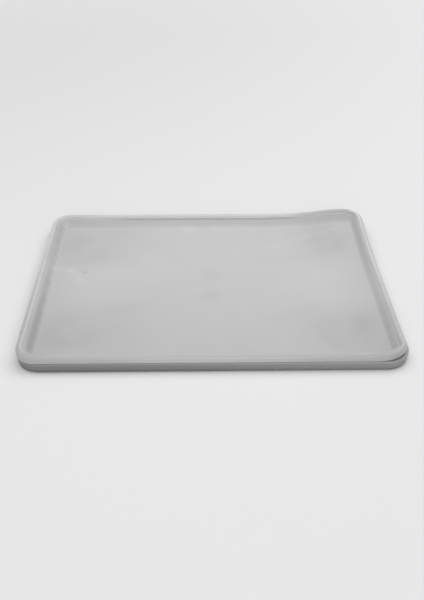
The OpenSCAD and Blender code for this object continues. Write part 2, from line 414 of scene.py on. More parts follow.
class Tree:
    """Short calls to build a node tree."""

    def __init__(self, tree):
        self.tree = tree

    def link(self, value, socket):
        """A link or a plain value into a socket."""
        if isinstance(value, bpy.types.NodeSocket):
            self.tree.links.new(value, socket)
        else:
            socket.default_value = value

    def add(self, kind, inputs=None, **settings):
        """A node, with its settings and its input values or links."""
        node = self.tree.nodes.new(kind)
        for key, value in settings.items():
            setattr(node, key, value)
        for key, value in (inputs or {}).items():
            self.link(value, node.inputs[key])
        return node

    def math(self, operation, *values, clamp=False):
        """A Math node's output."""
        node = self.add("ShaderNodeMath", dict(enumerate(values)), operation=operation)
        node.use_clamp = clamp
        return node.outputs[0]

    def times(self, a, b):
        return self.math("MULTIPLY", a, b)

    def plus(self, a, b):
        return self.math("ADD", a, b)

    def minus(self, a, b):
        return self.math("SUBTRACT", a, b)

    def fused(self, a, b, c):
        """A times b plus c."""
        return self.math("MULTIPLY_ADD", a, b, c)

    def vector(self, operation, *values):
        """A Vector Math node's output, a number where the operation gives one."""
        node = self.add("ShaderNodeVectorMath", dict(enumerate(values)), operation=operation)
        number = operation in ("LENGTH", "DISTANCE", "DOT_PRODUCT")
        return node.outputs["Value" if number else "Vector"]

    def scaled(self, vector, value):
        """The vector or colour times a value."""
        node = self.add("ShaderNodeVectorMath", {0: vector, "Scale": value}, operation="SCALE")
        return node.outputs[0]

    def flat(self, vector):
        """The vector without its Z."""
        return self.vector("MULTIPLY", vector, (1.0, 1.0, 0.0))

    def apart(self, vector):
        """The vector's X, Y and Z."""
        return self.add("ShaderNodeSeparateXYZ", {0: vector}).outputs

    def ramp(self, value, low, high, out_low=0.0, out_high=1.0):
        """A smooth step of value from low to high."""
        inputs = {"Value": value, "From Min": low, "From Max": high,
                  "To Min": out_low, "To Max": out_high}
        return self.add("ShaderNodeMapRange", inputs, interpolation_type="SMOOTHSTEP").outputs[0]

    def noise(self, vector, scale, detail=3.0, rough=0.5, warp=0.0):
        """A noise value from 0 to 1."""
        inputs = {"Vector": vector, "Scale": scale, "Detail": detail,
                  "Roughness": rough, "Distortion": warp}
        return self.add("ShaderNodeTexNoise", inputs).outputs[0]

    def stretch(self, vector, scale, turn=0.0):
        """The vector turned about Z, then scaled."""
        inputs = {"Vector": vector, "Scale": scale, "Rotation": (0.0, 0.0, turn)}
        return self.add("ShaderNodeMapping", inputs).outputs[0]

    def place(self):
        """The point's place on the object."""
        return self.add("ShaderNodeTexCoord").outputs["Object"]

    def mix(self, factor, a, b):
        """From colour a to colour b by factor."""
        return self.add("ShaderNodeMix", {0: factor, 6: a, 7: b}, data_type="RGBA").outputs[2]

    def soft_edge(self, far, scale, rough):
        """A soft fall from 1 at far 0 to 0 at far 1, made uneven by a noise."""
        wobble = self.noise(self.place(), scale, 2.0)
        uneven = self.fused(wobble, rough, self.minus(far, rough / 2))
        return self.ramp(uneven, 1.0, 0.0)


def socket_type(value):
    """The kind of socket for a value: a number, a vector or a colour."""
    if isinstance(value, float):
        return "NodeSocketFloat"
    return "NodeSocketVector" if len(value) == 3 else "NodeSocketColor"


def node_group(name, inputs, **outputs):
    """Turns a function that draws nodes into one that gives their node group, made once.
    The function takes a Tree and the group's inputs, and gives a value for each output.
    Inputs has each input's default, and outputs has a value of each output's kind."""

    def make(draw):
        tree = bpy.data.node_groups.new(name, "ShaderNodeTree")
        for side, sockets in (("INPUT", inputs), ("OUTPUT", outputs)):
            for label, value in sockets.items():
                socket = tree.interface.new_socket(
                    label, in_out=side, socket_type=socket_type(value))
                socket.default_value = value
        t = Tree(tree)
        given = t.add("NodeGroupInput").outputs
        out = t.add("NodeGroupOutput").inputs
        for label, value in draw(t, given).items():
            t.link(value, out[label])
        return tree

    return lambda draw: lambda: bpy.data.node_groups.get(name) or make(draw)


NUMBER = 0.0
ORIGIN = (0.0, 0.0, 0.0)
WHITE = (1.0, 1.0, 1.0, 1.0)


@node_group("Cloudy Tone", {"Tone": (0.6, 0.6, 0.6, 1.0), "Clouds": 0.06, "Cloud Scale": 14.0},
            Color=WHITE)
def cloudy_tone(t, given):
    """Cloudy tone of a milky plastic, with fine mottling."""
    place = t.place()
    big = t.noise(place, given["Cloud Scale"], 2.0, 0.45, 0.6)
    fine = t.noise(place, 160.0, 4.0, 0.6)
    both = t.plus(t.times(big, 0.8), t.times(fine, 0.2))
    factor = t.fused(t.minus(both, 0.5), given["Clouds"], 1.0)
    return {"Color": t.scaled(given["Tone"], factor)}


@node_group("Flow Marks", {"Streaks": 3.0, "Reach": 0.17}, Mask=NUMBER)
def flow_marks(t, given):
    """Marks that run out from where the plastic entered the mould."""
    flat = t.flat(t.place())
    far = t.vector("LENGTH", flat)
    drift = t.vector("MULTIPLY_ADD", flat, (3.0, 3.0, 3.0), t.vector("NORMALIZE", flat))
    streaks = t.noise(drift, given["Streaks"], 3.0, 0.55, 0.3)
    fade = t.times(t.ramp(far, given["Reach"], 0.03), t.ramp(far, 0.012, 0.075))
    return {"Mask": t.times(t.minus(streaks, 0.5), fade)}


@node_group("Soft Patch", {"Centre": ORIGIN, "Across": 0.04, "Deep": 0.03}, Mask=NUMBER)
def soft_patch(t, given):
    """One soft oval patch."""
    sizes = {"X": given["Across"], "Y": given["Deep"], "Z": 1.0}
    size = t.add("ShaderNodeCombineXYZ", sizes).outputs[0]
    away = t.vector("SUBTRACT", t.place(), given["Centre"])
    far = t.vector("LENGTH", t.flat(t.vector("DIVIDE", away, size)))
    return {"Mask": t.soft_edge(far, 20.0, 0.5)}


@node_group("Soft Ring", {"Centre": ORIGIN, "Radius": 0.02, "Width": 0.01}, Mask=NUMBER)
def soft_ring(t, given):
    """One soft, broken ring."""
    far = t.vector("LENGTH", t.flat(t.vector("SUBTRACT", t.place(), given["Centre"])))
    off = t.math("ABSOLUTE", t.minus(far, given["Radius"]))
    edge = t.soft_edge(t.math("DIVIDE", off, given["Width"]), 38.0, 0.9)
    broken = t.ramp(t.noise(t.place(), 27.0, 1.0), 0.36, 0.60)
    return {"Mask": t.times(edge, broken)}


@node_group("Soft Crease", {"Start": ORIGIN, "End": (0.1, 0.0, 0.0), "Width": 0.005}, Mask=NUMBER)
def soft_crease(t, given):
    """One soft line between two points."""
    run = t.vector("SUBTRACT", given["End"], given["Start"])
    away = t.vector("SUBTRACT", t.flat(t.place()), given["Start"])
    along, whole = t.vector("DOT_PRODUCT", away, run), t.vector("DOT_PRODUCT", run, run)
    share = t.math("DIVIDE", along, whole, clamp=True)
    off = t.vector("DISTANCE", away, t.scaled(run, share))
    return {"Mask": t.soft_edge(t.math("DIVIDE", off, given["Width"]), 60.0, 0.6)}


@node_group("Side Shade", {"Sides": 0.176, "Front": 0.086}, Mask=NUMBER)
def painted_side_shade(t, given):
    """Painted shade: a soft fall of tone towards the left and right sides and towards the front.
    """
    along = t.apart(t.place())
    sides = t.ramp(t.math("ABSOLUTE", along["X"]), 0.122, 0.212)
    front = t.ramp(along["Y"], 0.049, -0.111)
    return {"Mask": t.fused(front, given["Front"], t.times(sides, given["Sides"]))}


@node_group("Rim Place", {"Half": (0.16, 0.12, 0.0), "Corner": 0.021}, Inset=NUMBER, Facing=ORIGIN)
def rim_place(t, given):
    """The inset from a rounded outline, and which way the outline faces there."""
    place = t.place()
    past = t.vector("SUBTRACT", t.vector("ABSOLUTE", place), given["Half"])
    outward = t.flat(t.vector("MAXIMUM", past, ORIGIN))
    reach = t.vector("LENGTH", outward)
    beyond = t.apart(past)
    inner = t.math("MINIMUM", t.math("MAXIMUM", beyond["X"], beyond["Y"]), 0.0)
    inset = t.minus(t.minus(given["Corner"], reach), inner)
    one = t.math("DIVIDE", 1.0, t.math("MAXIMUM", reach, 0.01 * MM))
    facing = t.scaled(t.vector("MULTIPLY", t.vector("SIGN", place), outward), one)
    return {"Inset": inset, "Facing": facing}


# Where a band starts that reaches out past the lid's edge
OUTSIDE = -1.0

# Painted highlights and painted shade in bands round the lid's rim, for how its skirt, bead,
# shoulder and slope catch the light: where each starts and ends by the inset in metres, how soft
# its ends are, its tone all round (paler above 0), and what it adds on parts of the rim
RIM_LIGHT_AND_SHADE = (
    (OUTSIDE, 0.0028, 0.0006, 0.04, {"right": 0.32, "left": 0.10, "far left": 0.42}),
    (OUTSIDE, 0.00145, 0.00035, 0.0, {"front": 0.27, "front ends": -0.11}),
    (0.0014, 0.0054, 0.0004, 0.0, {"front": -0.10, "right": 0.10}),
    (0.0050, 0.0086, 0.0010, 0.05, {"left": 0.20, "right": 0.15, "front": 0.01}),
    (0.0092, 0.0116, 0.0005, -0.03, {"rear": -0.12, "front": 0.16, "rear middle": -0.22}),
    (0.0112, 0.0165, 0.0012, -0.06,
     {"right": 0.12, "left": -0.06, "rear": -0.01, "front": 0.20, "front right": -0.40,
      "far left": 0.16, "far right": -0.07}),
    (0.0016, 0.0044, 0.0006, 0.0, {"far left": 0.14}),
    (0.0048, 0.0090, 0.0010, 0.0, {"far left": -0.10}),
    (0.0032, 0.0054, 0.0006, 0.0, {"rear left": 0.20}),
    (0.0052, 0.0070, 0.0006, 0.0, {"left": 0.06}),
    (0.0073, 0.0088, 0.0005, 0.0, {"left": -0.08}),
    (0.0034, 0.0046, 0.0005, 0.0, {"far right": -0.14}),
    (0.0048, 0.0072, 0.0006, 0.0, {"far right": 0.12}),
    (0.0076, 0.0106, 0.0006, 0.0, {"far right": -0.13}),
    (0.0150, 0.0200, 0.0015, 0.0, {"rear": -0.11}),
    (0.0012, 0.0090, 0.0008, 0.0, {"rear right": -0.16}),
    (0.0130, 0.0158, 0.0008, 0.0, {"left dashes": -0.07}),
    (0.0095, 0.0160, 0.0010, 0.0, {"rear lines": -0.07}),
)


@node_group("Rim Light And Shade", {"Inset": 0.0, "Facing": ORIGIN}, Mask=NUMBER)
def rim_light_and_shade(t, given):
    """Painted highlights and painted shade in bands along the lid's rim by its inset and facing,
    with painted shade in dashes along the left slope and in thin wavy lines along the rear slope."""
    inset = given["Inset"]
    place = t.place()
    where = t.apart(place)
    aside = t.math("ABSOLUTE", where["X"])
    facing = t.apart(given["Facing"])
    parts = {}
    for part, way, sign in (("right", "X", 1.0), ("left", "X", -1.0),
                            ("rear", "Y", 1.0), ("front", "Y", -1.0)):
        parts[part] = t.math("MAXIMUM", t.times(facing[way], sign), 0.0)
    for part, side, along, low, high in (
            ("far left", "left", where["Y"], -0.06, 0.07),
            ("rear left", "left", where["Y"], 0.03, 0.08),
            ("far right", "right", where["Y"], -0.02, 0.06),
            ("rear right", "rear", where["X"], 0.095, 0.135),
            ("rear middle", "rear", aside, 0.125, 0.085),
            ("front ends", "front", aside, 0.03, 0.12)):
        parts[part] = t.times(parts[side], t.ramp(along, low, high))
    parts["front right"] = t.times(parts["right"], parts["front"])
    gaps = t.noise(t.stretch(place, (1.0, 95.0, 1.0)), 1.0, 1.0)
    parts["left dashes"] = t.times(parts["left"], t.ramp(gaps, 0.50, 0.60))
    drift = t.noise(t.stretch(place, (22.0, 60.0, 1.0)), 1.0, 2.0)
    wavy = t.math("SINE", t.fused(drift, 14.0, t.times(inset, 3600.0)))
    parts["rear lines"] = t.times(parts["rear"], t.ramp(wavy, 0.55, 1.0))
    total = 0.0
    for start, end, soft, paler, more in RIM_LIGHT_AND_SHADE:
        for part, share in more.items():
            paler = t.fused(parts[part], share, paler)
        rise = t.ramp(inset, start - soft, start + soft)
        band = t.times(rise, t.ramp(inset, end + soft, end - soft))
        total = t.fused(band, paler, total)
    return {"Mask": total}


@node_group("Fine Scuffs", {"Density": 0.5, "Scale": 1.0}, Mask=NUMBER)
def fine_scuffs(t, given):
    """Short fine scratches in several directions, for gloss and bump."""
    place = t.scaled(t.place(), given["Scale"])
    where = t.ramp(t.noise(place, 22.0, 3.0), 0.42, 0.72)
    total = 0.0
    for turn, along, across in ((0.4, 30.0, 900.0), (1.9, 24.0, 1100.0), (2.7, 50.0, 800.0)):
        lines = t.noise(t.stretch(place, (along, across, 200.0), turn), 1.0, 2.0, 0.5)
        total = t.math("MAXIMUM", total, t.ramp(lines, 0.63, 0.7))
    return {"Mask": t.times(t.times(total, where), given["Density"])}


@node_group("Mould Grain", {"Peel": 0.6, "Grain": 0.4}, Height=NUMBER)
def mould_grain(t, given):
    """Height of the moulded skin: a faint peel and a fine grain."""
    place = t.place()
    peel = t.times(t.noise(place, 320.0, 2.0), given["Peel"])
    grain = t.times(t.noise(place, 2600.0, 2.0, 0.6), given["Grain"])
    return {"Height": t.plus(peel, grain)}


@node_group("Cellulose Pores", {"Tone": (0.7, 0.5, 0.2, 1.0), "Pore Scale": 420.0},
            Color=WHITE, Height=NUMBER)
def cellulose(t, given):
    """Open pores of a wet cellulose sponge, with painted shade that darkens the colour in the
    pores.
    """
    place = t.place()
    bent = t.add("ShaderNodeTexNoise", {"Vector": place, "Scale": 120.0, "Detail": 2.0})
    push = t.vector("MULTIPLY_ADD", bent.outputs["Color"], (0.004, 0.004, 0.004), place)
    small = t.add("ShaderNodeTexVoronoi", {"Vector": push, "Scale": given["Pore Scale"]})
    wide = t.add("ShaderNodeTexVoronoi", {"Vector": push, "Scale": 150.0})
    pores = t.ramp(small.outputs["Distance"], 0.12, 0.5)
    height = t.times(pores, t.ramp(wide.outputs["Distance"], 0.1, 0.3))
    damp = t.noise(place, 18.0, 3.0)
    # Painted shade: the colour darkens in the pores, and the damp noise varies it at random
    lightness = t.times(t.fused(height, 0.5, 0.5), t.fused(damp, 0.35, 0.82))
    return {"Color": t.scaled(given["Tone"], lightness), "Height": height}


@node_group("Parchment Fibres", {"Tone": (0.8, 0.77, 0.7, 1.0), "Damp": 0.16},
            Color=WHITE, Height=NUMBER, Wet=NUMBER)
def parchment(t, given):
    """Fibres and damp patches of palette paper."""
    place = t.place()
    fibres = t.noise(t.stretch(place, (60.0, 900.0, 60.0), 0.5), 1.0, 3.0, 0.6)
    cross = t.noise(t.stretch(place, (700.0, 80.0, 60.0), 0.2), 1.0, 3.0, 0.6)
    both = t.plus(fibres, cross)
    wet = t.ramp(t.noise(place, 16.0, 4.0, 0.55, 0.8), 0.4, 0.62)
    spread = t.times(wet, given["Damp"])
    lightness = t.minus(t.fused(both, 0.08, 0.93), spread)
    return {"Color": t.scaled(given["Tone"], lightness), "Height": t.times(both, 0.5), "Wet": wet}


# ---------------------------------------------------------------- materials


class Finish:
    """A material with a Principled shader, its constants set on its own sockets."""

    def __init__(self, name, **constants):
        self.material = bpy.data.materials.new(name)
        self.material.use_nodes = True
        self.t = Tree(self.material.node_tree)
        self.shader = next(n for n in self.t.tree.nodes if n.type == "BSDF_PRINCIPLED")
        for key, value in constants.items():
            socket = key.replace("_", " ").title().replace("Ior", "IOR")
            self.shader.inputs[socket].default_value = value

    def use(self, maker, **values):
        """A group node's outputs, with its input values or links by socket name."""
        return self.t.add("ShaderNodeGroup", values, node_tree=maker()).outputs

    def link(self, socket, key):
        self.t.link(socket, self.shader.inputs[key])

    def bump(self, height, distance, strength=1.0):
        """The bump of a height, into the shader."""
        inputs = {"Height": height, "Distance": distance, "Strength": strength}
        self.link(self.t.add("ShaderNodeBump", inputs).outputs[0], "Normal")


def opaque(rgb):
    return (rgb[0], rgb[1], rgb[2], 1.0)


def grey(value):
    return (value, value, value, 1.0)


def seen_directly(t):
    """1 where the camera looks, straight on or in a mirror or a glass, and 0 for soft light."""
    path = t.add("ShaderNodeLightPath").outputs
    mirrored = t.math("MAXIMUM", path["Is Glossy Ray"], path["Is Transmission Ray"])
    return t.math("MAXIMUM", path["Is Camera Ray"], mirrored)


# Painted shade in soft darker patches of the lid's panel, and painted light where they are paler:
# place, half width and half depth in metres, depth of tone, paler below 0. The last row is a small
# dark dot.
PAINTED_PATCHES = (
    ((-0.132, 0.078), 0.090, 0.080, 0.100),
    ((0.134, 0.088), 0.058, 0.080, 0.125),
    ((-0.124, -0.092), 0.090, 0.080, 0.075),
    ((0.138, -0.092), 0.078, 0.070, 0.110),
    ((0.002, 0.012), 0.017, 0.015, 0.050),
    ((0.000, -0.026), 0.019, 0.016, 0.065),
    ((-0.112, 0.099), 0.030, 0.016, 0.030),
    ((-0.135, -0.104), 0.034, 0.014, 0.040),
    ((0.150, -0.078), 0.018, 0.026, 0.060),
    ((-0.022, 0.111), 0.015, 0.014, -0.045),
    ((0.010, 0.110), 0.015, 0.015, -0.040),
    ((0.154, 0.106), 0.020, 0.013, -0.040),
    ((-0.1353, 0.0195), 0.0026, 0.0030, 0.360),
)

# Small pale specks low on the front of the tray: place from left to right and half width in
# metres, paler by. Below, their place from front to back and their half depth.
TRAY_SPECKS = ((0.059, 0.0045, 0.16), (0.079, 0.0030, 0.14), (0.113, 0.0035, 0.20),
               (0.134, 0.0030, 0.14))
SPECKS_Y = -0.137
SPECKS_DEEP = 0.010

# Painted shade in soft darker rings of the panel: middle, radius and half width in metres, depth
# of tone
SHADE_RINGS = (
    ((-0.138, 0.062), 0.018, 0.018, 0.036),
    ((0.134, 0.077), 0.016, 0.017, 0.042),
    ((-0.138, -0.086), 0.019, 0.018, 0.036),
    ((0.130, -0.089), 0.021, 0.018, 0.030),
)

# Painted shade and painted light along soft creases of the panel, where it ripples: start, end and
# half width in metres, depth of tone, paler below 0
CREASE_SHADING = (
    ((-0.176, 0.028), (-0.151, 0.024), 0.0075, -0.055),
    ((-0.151, 0.023), (-0.138, 0.005), 0.0070, -0.032),
    ((-0.138, 0.005), (-0.122, -0.006), 0.0070, -0.026),
    ((0.066, 0.070), (0.096, 0.084), 0.0080, -0.022),
    ((0.096, 0.084), (0.114, 0.092), 0.0065, -0.030),
    ((0.114, 0.092), (0.148, 0.106), 0.0050, -0.040),
    ((0.120, 0.098), (0.148, 0.111), 0.0045, 0.050),
    ((-0.104, -0.054), (-0.058, -0.038), 0.0150, 0.020),
    ((0.066, -0.070), (0.104, -0.050), 0.0170, 0.026),
    ((-0.102, 0.048), (-0.068, 0.032), 0.0150, 0.022),
    ((0.056, 0.041), (0.106, 0.051), 0.0130, 0.020),
)


def along_rim(f, o, corner):
    """The inset from the outline and its facing, as outputs."""
    half = (o.width / 2 - corner, o.depth / 2 - corner, 0.0)
    return f.use(rim_place, Half=half, Corner=corner)


def lid_tones(f, colour, o, lid, finish):
    """The colour with the lid's painted shade and painted light in patches, rings and creases and
    falling towards the sides, its flow marks, and the painted highlights and shade in bands along
    its rim.
    """
    t = f.t
    # Painted shade towards the sides and front, then painted shade and light in patches, rings and
    # creases
    total = f.use(painted_side_shade)["Mask"]
    for maker, sockets, rows in (
            (soft_patch, ("Centre", "Across", "Deep"), PAINTED_PATCHES),
            (soft_ring, ("Centre", "Radius", "Width"), SHADE_RINGS),
            (soft_crease, ("Start", "End", "Width"), CREASE_SHADING)):
        for *values, depth in rows:
            values = [(*v, 0.0) if isinstance(v, tuple) else v for v in values]
            mask = f.use(maker, **dict(zip(sockets, values)))["Mask"]
            total = t.fused(mask, depth, total)
    darker = t.times(total, -finish.patches)
    flow = f.use(flow_marks, Streaks=2.6, Reach=0.17)["Mask"]
    darker = t.plus(darker, t.times(flow, 2 * finish.flow))
    # Painted highlights and painted shade along the rim
    rim = along_rim(f, o, lid.corner)
    bands = f.use(rim_light_and_shade, Inset=rim["Inset"], Facing=rim["Facing"])["Mask"]
    bands = t.fused(bands, finish.bands, 1.0)
    return t.scaled(t.scaled(colour, t.plus(darker, 1.0)), bands)


def tray_tones(f, colour, o):
    """The colour, with painted shade darker at the foot of the skirt, painted light paler up at
    the ledge and to the right, paler at the lip and inside where the darker tray tone's painted
    shade is lifted, and pale specks low on the front.
    """
    t = f.t
    along = t.apart(t.place())
    # Painted shade at the foot of the skirt, painted light up towards the ledge
    foot = t.ramp(along["Z"], 0.0, 0.005, 0.68, 1.0)
    foot = t.times(foot, t.ramp(along["Z"], 0.006, 0.0097, 1.0, 1.15))
    # Painted light: paler towards the right, darker towards the left
    side = t.ramp(along["X"], -0.18, 0.17, 0.87, 1.15)
    # Less of the tray tone's painted shade at the lip and inside
    inside = t.ramp(along_rim(f, o, o.corner)["Inset"], 0.0036, 0.0056, 1.0, 1.75)
    tone = t.times(t.times(foot, side), inside)
    for across, wide, pale in TRAY_SPECKS:
        centre = (across, SPECKS_Y, 0.0)
        mask = f.use(soft_patch, Centre=centre, Across=wide, Deep=SPECKS_DEEP)["Mask"]
        mask = t.times(mask, t.ramp(along["Z"], 0.0045, 0.002))
        tone = t.fused(mask, pale, tone)
    return t.scaled(colour, tone)


def milky_plastic(name, rgb, finish, marks):
    """Milky moulded plastic. The function marks adds the piece's tones to its colour, painted
    light and shade among them.
    """
    f = Finish(name, roughness=0.42, ior=1.49, subsurface_weight=0.25, subsurface_scale=0.004,
               subsurface_radius=(1.0, 1.0, 1.0))
    t = f.t
    colour = f.use(cloudy_tone, Tone=opaque(rgb), Clouds=finish.cloud)["Color"]
    f.link(marks(f, colour), "Base Color")
    scuffs = f.use(fine_scuffs, Density=finish.scuffs)["Mask"]
    gloss = t.fused(t.noise(t.place(), 28.0, 3.0), 0.14, 0.36)
    f.link(t.plus(gloss, t.times(scuffs, 0.3)), "Roughness")
    f.bump(t.minus(f.use(mould_grain)["Height"], t.times(scuffs, 0.6)), 0.03 * MM, 0.6)
    return f.material


def damp_material(f, maker, rgb, mask, change, rough, depth, strength):
    """The finish with a group's colour and height. One of its masks changes the roughness."""
    given = f.use(maker, Tone=opaque(rgb))
    f.link(given["Color"], "Base Color")
    f.link(f.t.fused(given[mask], change, rough), "Roughness")
    f.bump(given["Height"], depth, strength)
    return f.material


def sponge_material(finish):
    """Damp yellow cellulose."""
    f = Finish("wet_sponge", roughness=0.6, subsurface_weight=0.2, subsurface_scale=0.002)
    return damp_material(f, cellulose, finish.sponge_tone, "Height", 0.35, 0.4, 0.9 * MM, 1.0)


def paper_material(finish):
    """Damp palette paper."""
    f = Finish("palette_paper", roughness=0.5)
    return damp_material(f, parchment, finish.paper_tone, "Wet", -0.2, 0.55, 0.05 * MM, 0.7)


def floor_material(s):
    """A pale floor that keeps shadows. Far off, it is seen paler against the light's fall."""
    f = Finish("floor", roughness=0.9, emission_strength=1.0)
    t = f.t
    direct = seen_directly(t)
    f.link(t.mix(direct, grey(s.dim), grey(s.pale)), "Base Color")
    lift = t.ramp(t.vector("LENGTH", t.place()), 0.2, 2.4, 0.0, s.far)
    f.link(t.scaled((1.0, 1.0, 1.0), t.times(lift, direct)), "Emission Color")
    return f.material


# ---------------------------------------------------------------- pieces


def tray_section(o, s):
    """The tray's section, from the floor's top out round the rim to the underside."""
    lip_top = s.ledge_h + s.lip_h
    lip_in = s.ledge_w + s.wall
    lean = math.tan(s.basin_lean)
    basin_u = lip_in + (s.ledge_h - s.wall) * lean
    half = math.tan((math.pi / 2 + s.basin_lean) / 2)
    flat_u = basin_u + s.floor_fillet / half
    outer_r = s.floor_fillet + s.wall
    outer_u = flat_u - outer_r / half
    skirt = math.tan(s.skirt_lean)
    skirt_in = (s.ledge_h - s.skirt_lift) * skirt
    top = 0.5 * MM
    bead = lip_top - s.bead_drop
    under = s.ledge_h - s.wall
    line = [
        (o.corner, s.wall, 0.0), (basin_u, s.wall, s.floor_fillet), (lip_in, s.ledge_h, 0.4 * MM),
        (lip_in, lip_top, top), (s.ledge_w, lip_top, top),
        (s.ledge_w, bead + s.bead_h / 2, 0.2 * MM), (s.ledge_w - s.bead_out, bead, s.bead_h),
        (s.ledge_w, bead - s.bead_h / 2, 0.2 * MM), (s.ledge_w, s.ledge_h, 0.3 * MM),
        (0.0, s.ledge_h, s.edge), (skirt_in, s.skirt_lift, s.edge),
        (skirt_in + s.wall, s.skirt_lift, 0.2 * MM), (s.wall + s.wall * skirt, under, 0.3 * MM),
        (outer_u - under * lean, under, 0.3 * MM), (outer_u, 0.0, outer_r), (o.corner, 0.0, 0.0)]
    return rounded(line)


def lid_section(o, tray, s):
    """The lid's section, from the panel's top out round the bead to the underside."""
    lip_top = tray.ledge_h + tray.lip_h
    top = lip_top + s.crown
    plug = tray.ledge_w + tray.wall + s.plug_gap
    bead_in = plug + s.wall
    bead_r = (bead_in - s.inset) / 2
    shoulder = top - s.shoulder_drop
    panel = top - s.panel_drop
    slope_u = bead_in + s.shoulder_w
    slope_end = slope_u + s.slope_w
    fold = s.wall * math.tan(math.atan((s.panel_drop - s.shoulder_drop) / s.slope_w) / 2)
    foot = tray.ledge_h + s.skirt_gap
    inner = s.inset + s.wall
    grip = (foot + lip_top - tray.bead_drop - tray.bead_h / 2) / 2
    bead = Vector((s.inset + bead_r, top - bead_r))
    rise = shoulder + s.valley - bead.y
    valley = bead + Vector((math.sqrt((bead_r + s.valley) ** 2 - rise ** 2), rise))
    facing = math.atan2(rise, valley.x - bead.x)
    dish = rounded([
        (o.corner, panel, 0.0), (slope_end, panel, s.fold), (slope_u, shoulder, s.brow),
        (valley.x, shoulder, 0.0)])
    round_bead = arc_about(valley, s.valley, -math.pi / 2, facing - math.pi)
    round_bead += arc_about(bead, bead_r, facing, math.pi, math.radians(7.5))[1:]
    under = rounded([
        (s.inset, bead.y, 0.0), (s.inset, foot, s.foot), (inner, foot, 0.15 * MM),
        (inner, grip - s.grip_h / 2, 0.1 * MM), (inner + s.grip_out, grip, s.grip_h / 2),
        (inner, grip + s.grip_h / 2, 0.1 * MM), (inner, lip_top, 0.5 * MM),
        (plug, lip_top, 0.5 * MM), (plug, shoulder - s.wall, 0.3 * MM),
        (slope_u - fold, shoulder - s.wall, s.brow - s.wall),
        (slope_end - fold, panel - s.wall, s.fold + s.wall), (o.corner, panel - s.wall, 0.0)])
    return dish + round_bead[1:] + under[1:]


def rib_profile(s, skirt_tan):
    """A rib's outline from the skirt to the basin, as (inset, height)."""
    half = s.wall / 2
    lip_in = s.ledge_w + s.wall
    rise = s.ledge_h - s.rib_lift
    return [
        (half, s.ledge_h - half), (rise * skirt_tan + half, s.rib_lift),
        (lip_in + rise * math.tan(s.basin_lean) - half, s.rib_lift),
        (lip_in - half, s.ledge_h - half)]


def add_rib(bm, profile, foot, normal, thickness):
    """A plate across the rim at foot, where foot is on the outline's edge."""
    side = Vector((-normal.y, normal.x, 0.0)) * (thickness / 2)
    faces = []
    for sign in (-1, 1):
        faces.append([
            bm.verts.new(foot - normal * u + Vector((0.0, 0.0, z)) + side * sign)
            for u, z in profile])
    a, b = faces
    bm.faces.new(a)
    bm.faces.new(b[::-1])
    for i in range(len(a)):
        j = (i + 1) % len(a)
        bm.faces.new((a[j], a[i], b[i], b[j]))


def tray_warp(o, s):
    """How the tray's thin skirt leans, as a function of a point. The lip stays put."""
    skew_reach = 0.090

    def warp(p):
        x, y, z = p
        outer = 1.0 - min(1.0, max(0.0, (inset_at(o, x, y) - s.wall) / (s.ledge_w - s.wall)))
        along = max(0.0, x - o.width / 2 + o.corner)
        across = max(0.0, -y - o.depth / 2 + o.corner)
        if along > 0 and across > 0:
            # The tuck is whole at the middle of the corner and nothing at its ends
            pull = outer * s.tuck * 2 * along * across / math.hypot(along, across) ** 3
            x, y = x - along * pull, y + across * pull
        return Vector((x + s.skew * bell((y + o.depth / 2) / skew_reach) * outer, y, z))

    return warp


# Soft ridges of the lid's panel: start, end, half width and height, in metres
RIDGES = (
    ((-0.158, 0.040), (-0.128, 0.044), 0.005, 0.0005),
    ((-0.128, 0.044), (-0.104, 0.026), 0.006, 0.0004),
    ((0.128, 0.112), (0.098, 0.078), 0.007, 0.0006),
    ((0.098, 0.078), (0.062, 0.070), 0.007, 0.0005),
)


def ridge_at(x, y):
    """The height of the panel's ridges."""
    rise = 0.0
    for start, end, wide, high in RIDGES:
        start = Vector(start)
        run = Vector(end) - start
        away = Vector((x, y)) - start
        share = min(1.0, max(0.0, away.dot(run) / run.length_squared))
        rise = max(rise, high * bell((away - run * share).length / (2 * wide)))
    return rise


def lid_warp(o, s):
    """How the flexible lid lies on the rim, as a function of a point."""
    half_w = o.width / 2
    half_d = o.depth / 2
    rear_corner = (half_w, half_d)
    front_corner = (half_w, -half_d)
    front_reach = (0.030, 0.030)
    # Where the lid stands up: by how much, the middle and the reach
    lifts = (
        (s.rear_lift, rear_corner, (0.130, 0.110)),
        (s.rear_peak, (0.158, half_d), (0.048, 0.060)),
        (s.front_lift, front_corner, front_reach),
        (s.bow, (0.01, half_d), (0.120, 0.080)),
    )
    # The panel's waves start at this inset and are whole this much further in
    panel_start, panel_ease = 0.016, 0.020

    def warp(p):
        x, y, z = p
        z += sum(high * bump_at(x, y, middle, reach) for high, middle, reach in lifts)
        inset = min(half_w - abs(x), half_d - abs(y))
        inside = bell(1.0 - min(1.0, max(0.0, (inset - panel_start) / panel_ease)))
        soft = waves(x, y, 16, 3.7) + 0.5 * waves(x, y, 38, 9.1)
        z += inside * (s.ripple * (soft + 0.6) + ridge_at(x, y))
        draw = 0.5 * s.front_draw * bump_at(x, y, front_corner, front_reach)
        pull = s.corner_pull * bump_at(x, y, rear_corner, (0.028, 0.028))
        x, y = x - pull, y - pull * 0.6
        x += s.side_bow * bump_at(x, y, (half_w, 0.085), (0.060, 0.095))
        return Vector((x - s.shift_x - draw, y - s.shift_y + draw, z + HAIR))

    return warp


